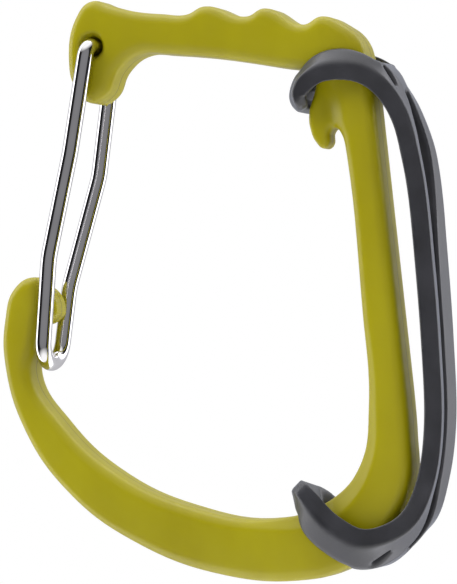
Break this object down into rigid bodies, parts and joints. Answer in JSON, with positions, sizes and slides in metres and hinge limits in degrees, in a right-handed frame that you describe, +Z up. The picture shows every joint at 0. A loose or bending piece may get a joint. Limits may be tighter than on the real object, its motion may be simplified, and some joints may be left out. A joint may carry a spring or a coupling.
{
  "type": "gear racking carabiner",
  "caption": "Open plastic clip with a sprung wire gate, finger ridges on its top bar and a slotted rubber band that grips a harness belt.",
  "frame": {"origin": "centre of the spine's flat outer face, on the clip's mid plane", "axes": "+Z up along the spine towards the top bar, +X out of the spine's outer face towards the belt, gate on the -X side, +Y through the clip's thickness"},
  "size_m": [0.0969, 0.0176, 0.1237],
  "materials": {
    "frame": "satin moulded lime-green nylon",
    "wire_gate": "polished stainless wire",
    "belt_strap": "soft black moulded rubber"
  },
  "bodies": {
    "clip": {"frame": "frame", "belt_strap": "belt_strap"},
    "gate": {"wire_gate": "wire_gate"}
  },
  "joints": [
    {"name": "gate_hinge", "type": "hinge", "parent": "clip", "child": "gate", "pos_m": [-0.0593, 0, 0.059], "axis": [0, -1, 0], "range_deg": [0, 30], "stiffness_Nm_per_rad": 0.3, "springref_deg": -28.65}
  ]
}
